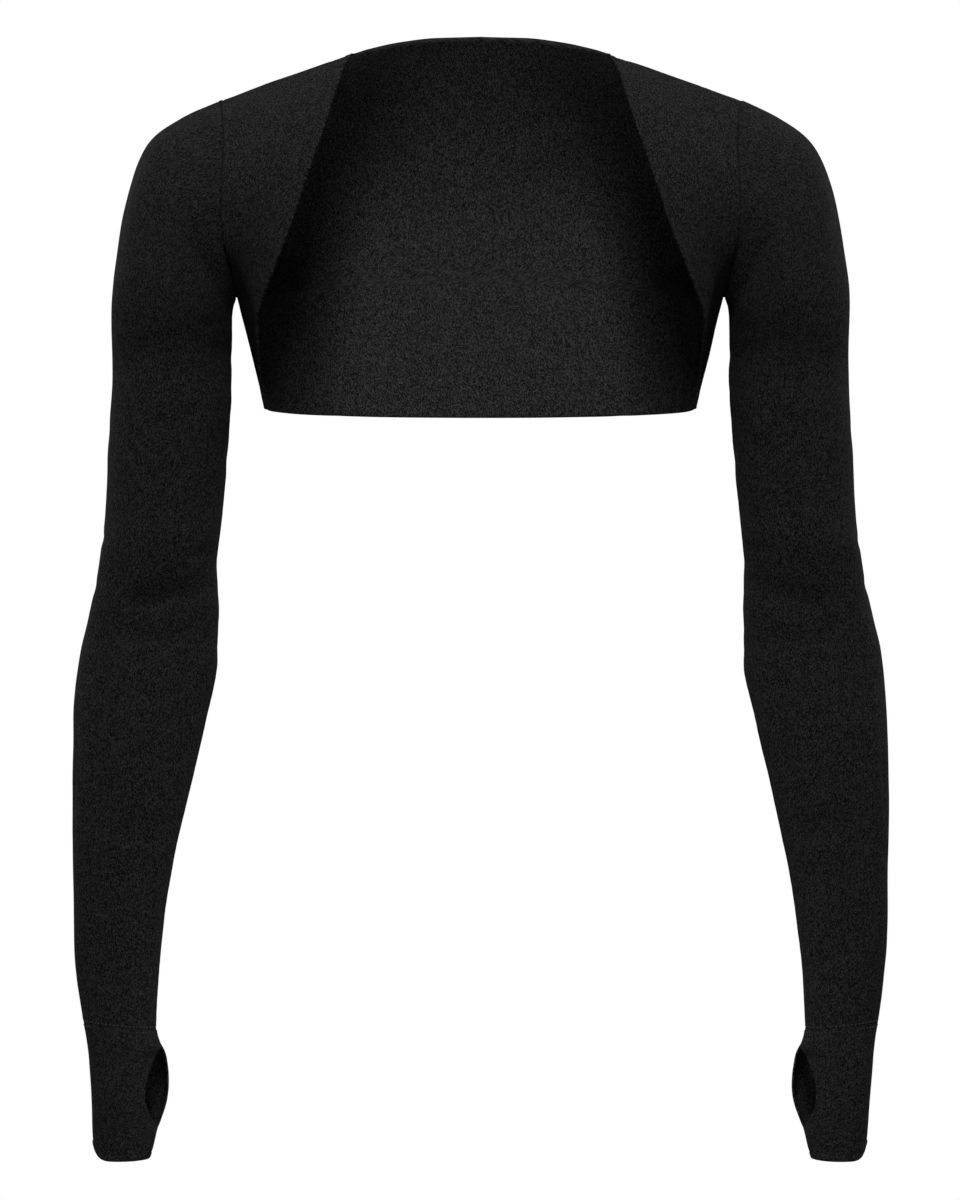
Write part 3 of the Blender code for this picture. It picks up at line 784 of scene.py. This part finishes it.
def rim_faces(edges, chain, count):
    """The faces that join the outer side to the inner one along every edge."""
    rims = []
    for a, b in edges:
        from_a, from_b = chain.get(a, [a, a + count]), chain.get(b, [b, b + count])
        if len(from_a) == len(from_b):
            rims += [(from_b[i], from_a[i], from_a[i + 1], from_b[i + 1]) for i in range(len(from_a) - 1)]
        else:
            rims.append(tuple(from_b[:1] + from_a + from_b[:0:-1]))
    return rims


def knit_places(grain, faces, chain, rims, count, total):
    """Places in the knit for the corners of the outer faces, the inner ones and the rims."""
    at_point = np.zeros((total, 2))
    at_point[faces.ravel()] = grain.reshape(-1, 2)
    at_point[count:2 * count] = at_point[:count]
    for point, links in chain.items():
        at_point[links] = at_point[point]
    loops = [grain.reshape(-1, 2), grain[:, [0, 3, 2, 1]].reshape(-1, 2)]
    return np.concatenate(loops + [at_point[list(rim)] for rim in rims])


def painted_seam_shade_line(piece, index, count, total):
    """Painted shade in a seam's groove: how near each point lies to the groove's bottom, from 0 to 1."""
    line = np.zeros(total)
    pressed = np.where(piece.wrist_distance() < WRIST_REACH, WRIST_SHADE_SHARE, 1.0)
    line[index.ravel()] = (pressed * np.exp(-(piece.seam_distance() / SEAM_SHADE_WIDTH) ** 2)).ravel()
    line[count:2 * count] = line[:count]
    return line


def shell(jacket, k, materials):
    """One closed piece of cloth: outer side, inner side, flat rims at seams and round ones at free edges."""
    piece = jacket.pieces[k]
    own, index = np.unique(jacket.labels(k), return_inverse=True)
    index = index.reshape(piece.grid.shape[:2])
    faces = corners_of(index).reshape(-1, 4)
    outer, inner, normal = jacket.outer[own], jacket.inner[own], jacket.normal[own]
    shared, count = jacket.shared[own], len(own)
    edges = border(faces)
    free = [pair for pair in edges if not (shared[pair[0]] and shared[pair[1]])]
    extra, chain = round_rims(free, outer, inner, normal)
    points = np.concatenate([outer, inner, extra])
    rims = rim_faces(edges, chain, count)
    polygons = faces.tolist() + (faces[:, [0, 3, 2, 1]] + count).tolist() + rims
    mesh = bpy.data.meshes.new(piece.name)
    mesh.from_pydata((points * MM).tolist(), [], polygons)
    knit = knit_places(piece.grain(), faces, chain, rims, count, len(points))
    mesh.uv_layers.new(name="cloth").data.foreach_set("uv", (knit * MM).ravel())
    # painted shade along the bottom of each seam's groove, kept on the points
    line = painted_seam_shade_line(piece, index, count, len(points))
    mesh.attributes.new("painted_seam_shade", "FLOAT", "POINT").data.foreach_set("value", line)
    for material in materials:
        mesh.materials.append(material)
    inside = np.zeros(len(mesh.polygons), int)
    inside[len(faces):2 * len(faces)] = 1
    mesh.polygons.foreach_set("material_index", inside)
    mesh.shade_smooth()
    return new_object(piece.name, mesh)


def ways_out(edges, places, normals):
    """For each point of the free edges, the way out of the cloth across those edges."""
    total = {}
    for a, b in edges:
        away = np.cross(places[b] - places[a], normals[a] + normals[b])
        away /= max(np.linalg.norm(away), 1e-9)
        for point in (a, b):
            total[point] = total.get(point, 0) + away
    return total


def ring_at(jacket, k, from_seam):
    """Points and ways out of the cloth at one distance from the wrist seam, all round."""
    piece = jacket.pieces[k]
    label = jacket.labels(k).reshape(piece.grid.shape[:2])
    values = np.concatenate([jacket.outer, jacket.normal], axis=1)[label]
    run = piece.from_top
    if piece.kind == "sleeve":
        run, values = piece.from_bottom[::-1], values[::-1]
    columns = range(run.shape[1])
    return np.array([[np.interp(from_seam, run[:, j], values[:, j, i]) for i in range(6)] for j in columns])


def stitch_row(ring):
    """Pads of thread along a ring of the cloth: their points, and the faces as numbers of those points."""
    run = lengths(ring[:, :3])
    count = round(run[-1] / STITCH_STEP)
    middle = np.arange(count) * run[-1] / count

    def place(ahead):
        return np.stack([np.interp((middle + ahead) % run[-1], run, c) for c in ring.T], axis=1)

    start, end = place(-STITCH_LENGTH / 2), place(STITCH_LENGTH / 2)
    way = end[:, :3] - start[:, :3]
    way /= np.linalg.norm(way, axis=1, keepdims=True)
    points = [start[:, :3] - STITCH_SINK * start[:, 3:]]
    for ahead in (-STITCH_FULL * STITCH_LENGTH, STITCH_FULL * STITCH_LENGTH):
        here = place(ahead)
        at, up = here[:, :3], here[:, 3:]
        aside = np.cross(way, up) * STITCH_WIDTH / 2
        points += [at + STITCH_LIFT * up, at + aside, at - STITCH_SINK * up, at - aside]
    points.append(end[:, :3] - STITCH_SINK * end[:, 3:])
    pad = []
    for a, b in ((1, 2), (2, 3), (3, 4), (4, 1)):
        pad += [(0, b, a), (a, b, b + 4, a + 4), (a + 4, b + 4, STITCH_POINTS - 1)]
    faces = [tuple(STITCH_POINTS * i + j for j in face) for i in range(count) for face in pad]
    return np.stack(points, axis=1).reshape(-1, 3), faces


def wrist_stitches(jacket, sleeve, cuff, name, threads):
    """The two rows of stitches that hold the wrist seam, one on the sleeve and one on the hand piece."""
    points, faces, thread = np.zeros((0, 3)), [], []
    for number, k in enumerate((sleeve, cuff)):
        row, pads = stitch_row(ring_at(jacket, k, STITCH_AWAY[number]))
        faces += [tuple(len(points) + j for j in face) for face in pads]
        thread += [number] * len(pads)
        points = np.concatenate([points, row])
    mesh = bpy.data.meshes.new(name)
    mesh.from_pydata((points * MM).tolist(), [], faces)
    for material in threads:
        mesh.materials.append(material)
    mesh.polygons.foreach_set("material_index", thread)
    mesh.shade_smooth()
    return new_object(name, mesh)


def clothes():
    front, sleeve, cuff = front_grid(), sleeve_grid(), cuff_grid()
    pieces = [Piece("back_cloth", "back", back_grid())]
    for side, word in ((1, "left"), (-1, "right")):
        pieces.append(Piece(f"front_{word}_cloth", "front", front, side))
        pieces.append(Piece(f"sleeve_{word}_cloth", "sleeve", sleeve, side))
        pieces.append(Piece(f"cuff_{word}_cloth", "cuff", cuff, side))
    return Jacket(pieces)


# Materials, in metres

WALE = 0.00105          # width of a knit stitch
COURSE = 0.0008         # height of a knit stitch
SLANT = 0.7             # how far a leg of the stitch rises, in courses
YARN_ROUND = 0.6        # exponent of the yarn's height across a leg: under 1 is flatter on top
YARN_BUMP = 0.3         # strength of the stitches' relief
YARN_HEIGHT = 0.0002    # height of the stitches
FIBRES = 1500           # scale of the fibres' noise
FIBRE_SHARE = 0.35      # how much of the heather comes from the fibres, the rest from the legs
HEATHER = (0.22, 0.5, 0.78)   # where the dark, the middle and the light tone lie in it
SEAM_SHADE_STRENGTH = 0.3     # how much the painted shade in a seam's groove takes off the tone
TWIST = 2500            # scale of the thread's noise


def new_material(name):
    material = bpy.data.materials.new(name)
    material.use_nodes = True
    nodes = material.node_tree.nodes
    return material, nodes, material.node_tree.links, nodes["Principled BSDF"]


def noise(nodes, links, vector, scale, detail, roughness=0.6):
    node = nodes.new("ShaderNodeTexNoise")
    node.inputs["Scale"].default_value = scale
    node.inputs["Detail"].default_value = detail
    node.inputs["Roughness"].default_value = roughness
    links.new(vector, node.inputs["Vector"])
    return node.outputs["Fac"]


def ramp(nodes, links, value, *stops):
    node = nodes.new("ShaderNodeValToRGB")
    links.new(value, node.inputs["Fac"])
    colours = node.color_ramp.elements
    while len(colours) < len(stops):
        colours.new(0.5)
    for element, (place, colour) in zip(colours, stops):
        element.position = place
        element.color = (*colour, 1.0)
    return node.outputs["Color"]


def sum_up(nodes, links, operation, *values):
    """One step of arithmetic on sockets and numbers."""
    node = nodes.new("ShaderNodeMath")
    node.operation = operation
    for socket, value in zip(node.inputs, values):
        if isinstance(value, (int, float)):
            socket.default_value = value
        else:
            links.new(value, socket)
    return node.outputs[0]


def stitches(nodes, links):
    """Knit stitches, two slanting legs in each: the height of the yarn, and a number for each leg."""
    cloth_map = nodes.new("ShaderNodeUVMap")
    cloth_map.uv_map = "cloth"
    parts = nodes.new("ShaderNodeSeparateXYZ")
    links.new(cloth_map.outputs["UV"], parts.inputs[0])

    def do(operation, *values):
        return sum_up(nodes, links, operation, *values)

    leg = do("DIVIDE", parts.outputs["X"], WALE / 2)
    from_middle = do("ABSOLUTE", do("SUBTRACT", do("FRACT", do("MULTIPLY", leg, 0.5)), 0.5))
    slant = do("MULTIPLY", from_middle, 2 * SLANT)
    course = do("SUBTRACT", do("DIVIDE", parts.outputs["Y"], COURSE), slant)
    round_leg = do("SINE", do("MULTIPLY", do("FRACT", leg), pi))
    round_course = do("SINE", do("MULTIPLY", do("FRACT", course), pi))
    height = do("MULTIPLY", do("POWER", round_leg, YARN_ROUND), round_course)
    number = nodes.new("ShaderNodeCombineXYZ")
    links.new(do("FLOOR", leg), number.inputs["X"])
    links.new(do("FLOOR", course), number.inputs["Y"])
    return height, number.outputs[0]


def jersey(name, dark, middle, light, roughness, sheen):
    """Charcoal knit with a fine heather: each leg of a stitch has its own tone."""
    material, nodes, links, shader = new_material(name)
    height, leg_number = stitches(nodes, links)
    chance = nodes.new("ShaderNodeTexWhiteNoise")
    links.new(leg_number, chance.inputs["Vector"])
    place = nodes.new("ShaderNodeTexCoord").outputs["Object"]
    fibres = noise(nodes, links, place, FIBRES, 1)
    tone = nodes.new("ShaderNodeMix")
    tone.inputs["Factor"].default_value = FIBRE_SHARE
    links.new(chance.outputs["Value"], tone.inputs["A"])
    links.new(fibres, tone.inputs["B"])
    # Painted shade: the tone is darkened along the bottom of every seam's groove.
    painted_seam_shade = nodes.new("ShaderNodeAttribute")
    painted_seam_shade.attribute_name = "painted_seam_shade"
    shade = sum_up(nodes, links, "MULTIPLY", painted_seam_shade.outputs["Fac"], SEAM_SHADE_STRENGTH)
    lit = sum_up(nodes, links, "SUBTRACT", 1.0, shade)
    dimmed = sum_up(nodes, links, "MULTIPLY", tone.outputs["Result"], lit)
    colour = ramp(nodes, links, dimmed, *zip(HEATHER, (dark, middle, light)))
    links.new(colour, shader.inputs["Base Color"])
    shader.inputs["Roughness"].default_value = roughness
    shader.inputs["Specular IOR Level"].default_value = 0.02
    shader.inputs["Sheen Weight"].default_value = sheen
    shader.inputs["Sheen Roughness"].default_value = 0.4
    bump = nodes.new("ShaderNodeBump")
    bump.inputs["Strength"].default_value = YARN_BUMP
    bump.inputs["Distance"].default_value = YARN_HEIGHT
    links.new(height, bump.inputs["Height"])
    links.new(bump.outputs["Normal"], shader.inputs["Normal"])
    return material


def thread(name, colour):
    """Twisted sewing thread, a little uneven in tone."""
    material, nodes, links, shader = new_material(name)
    place = nodes.new("ShaderNodeTexCoord").outputs["Object"]
    twist = noise(nodes, links, place, TWIST, 1)
    tone = ramp(nodes, links, twist, (0.3, tuple(0.7 * part for part in colour)), (0.7, colour))
    links.new(tone, shader.inputs["Base Color"])
    shader.inputs["Roughness"].default_value = 0.6
    return material


# Studio

CAMERA_X = -0.000335
CAMERA_Z = -0.3484
CAMERA_AWAY = 3.0
VIEW_HEIGHT = 0.804
FLOOR_Z = -1.3
FLOOR_RADIUS = 3.9      # small enough to lie under the photograph's view
FLOOR_SIDES = 96
FLOOR_PAINT = 0.3
FLOOR_GLOW = 0.86       # what the floor adds to its paint for the camera alone
AMBIENT = 0.005
LIGHTS = (
    # name, place, towards, size, power
    ("key", (0.0, -1.7, 1.6), (0.0, 0.05, -0.15), (0.6, 0.6), 23),
    ("steep", (0.0, -1.2, 2.0), (0.0, 0.05, -0.15), (0.3, 0.5), 13.5),
    ("top", (0.0, 0.1, 2.2), (0.0, 0.1, 0.0), (2.6, 2.6), 6),
    ("low", (0.0, -0.45, -0.87), (0.0, 0.0, -0.65), (0.3, 0.12), 0.55),
)
SIDE_LIGHTS = (
    # the same, one on each side of the jacket
    ("side", (2.0, -0.1, 0.3), (0.0, 0.0, -0.3), (0.5, 0.9), 8),
    ("rim", (1.9, 1.6, 0.7), (0.0, 0.0, -0.3), (1.2, 1.6), 18),
)


def camera():
    data = bpy.data.cameras.new("camera")
    data.sensor_fit = "VERTICAL"
    data.angle = 2 * atan(VIEW_HEIGHT / 2 / CAMERA_AWAY)
    obj = new_object("camera", data)
    obj.location = (CAMERA_X, -CAMERA_AWAY, CAMERA_Z)
    obj.rotation_euler = (pi / 2, 0, 0)
    bpy.context.scene.camera = obj


def light(name, place, towards, size, power):
    data = bpy.data.lights.new(name, "AREA")
    data.shape = "RECTANGLE"
    data.size, data.size_y = size
    data.energy = power
    obj = new_object(name, data)
    obj.location = place
    obj.rotation_euler = (Vector(towards) - Vector(place)).to_track_quat("-Z", "Y").to_euler()


def floor_paint():
    """Pale paint that looks pale from every side, and throws little light up at the cloth."""
    material, nodes, links, shader = new_material("floor_paint")
    shader.inputs["Base Color"].default_value = (FLOOR_PAINT, FLOOR_PAINT, FLOOR_PAINT, 1.0)
    shader.inputs["Roughness"].default_value = 0.8
    shader.inputs["Emission Color"].default_value = (1.0, 1.0, 1.0, 1.0)
    seen = nodes.new("ShaderNodeLightPath").outputs["Is Camera Ray"]
    links.new(sum_up(nodes, links, "MULTIPLY", seen, FLOOR_GLOW), shader.inputs["Emission Strength"])
    return material


def backdrop():
    """A world that is white to the camera and throws hardly any light."""
    world = bpy.data.worlds.new("studio")
    world.use_nodes = True
    nodes, links = world.node_tree.nodes, world.node_tree.links
    white, ambient = nodes["Background"], nodes.new("ShaderNodeBackground")
    white.inputs["Color"].default_value = (1, 1, 1, 1)
    ambient.inputs["Color"].default_value = (1, 1, 1, 1)
    ambient.inputs["Strength"].default_value = AMBIENT
    both = nodes.new("ShaderNodeMixShader")
    links.new(nodes.new("ShaderNodeLightPath").outputs["Is Camera Ray"], both.inputs["Fac"])
    links.new(ambient.outputs["Background"], both.inputs[1])
    links.new(white.outputs["Background"], both.inputs[2])
    links.new(both.outputs["Shader"], nodes["World Output"].inputs["Surface"])
    return world


def studio():
    scene = bpy.context.scene
    scene.view_settings.view_transform = "Standard"
    scene.world = backdrop()
    mesh = bpy.data.meshes.new("floor")
    turns = np.linspace(0, 2 * pi, FLOOR_SIDES + 1)[:-1]
    corners = [(FLOOR_RADIUS * np.cos(a), FLOOR_RADIUS * np.sin(a), FLOOR_Z) for a in turns]
    mesh.from_pydata(corners, [], [range(FLOOR_SIDES)])
    mesh.materials.append(floor_paint())
    new_object("floor", mesh)
    for row in LIGHTS:
        light(*row)
    for side in (-1, 1):
        for name, (x, y, z), towards, size, power in SIDE_LIGHTS:
            light(name, (side * x, y, z), towards, size, power)


# What each piece stands for and how it was cut

NODES = {"back_cloth": "back_panel"}   # the others have the names of their nodes, with _cloth added
GREY = (1, 1, 1.02)     # charcoal, a trace towards blue


def grey(value):
    return tuple(value * part for part in GREY)


camera()
studio()
face = jersey("jersey_face", grey(0.0046), grey(0.0155), grey(0.043), 0.9, 0.018)
# The wrong side of the knit, lighter than the face: partly the knit's own reverse, partly painted light for
# the light inside the jacket.
wrong_side_with_painted_light = jersey("jersey_wrong_side_with_painted_light", grey(0.0078), grey(0.0275), grey(0.078), 0.95, 0.0)
threads = thread("thread_light", grey(0.052)), thread("thread_dark", grey(0.014))

jacket = clothes()
jacket.shape()
numbers = {part.name.removesuffix("_cloth"): number for number, part in enumerate(jacket.pieces)}
for word in ("left", "right"):
    name = f"wrist_stitches_{word}"
    wrist_stitches(
        jacket, numbers[f"sleeve_{word}"], numbers[f"cuff_{word}"], name, threads
    )
    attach(bpy.data.objects[name], "root")
for number, part in enumerate(jacket.pieces):
    cloth = shell(jacket, number, (face, wrong_side_with_painted_light))
    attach(cloth, "root")
    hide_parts(NODES.get(part.name, part.name.removesuffix("_cloth")))
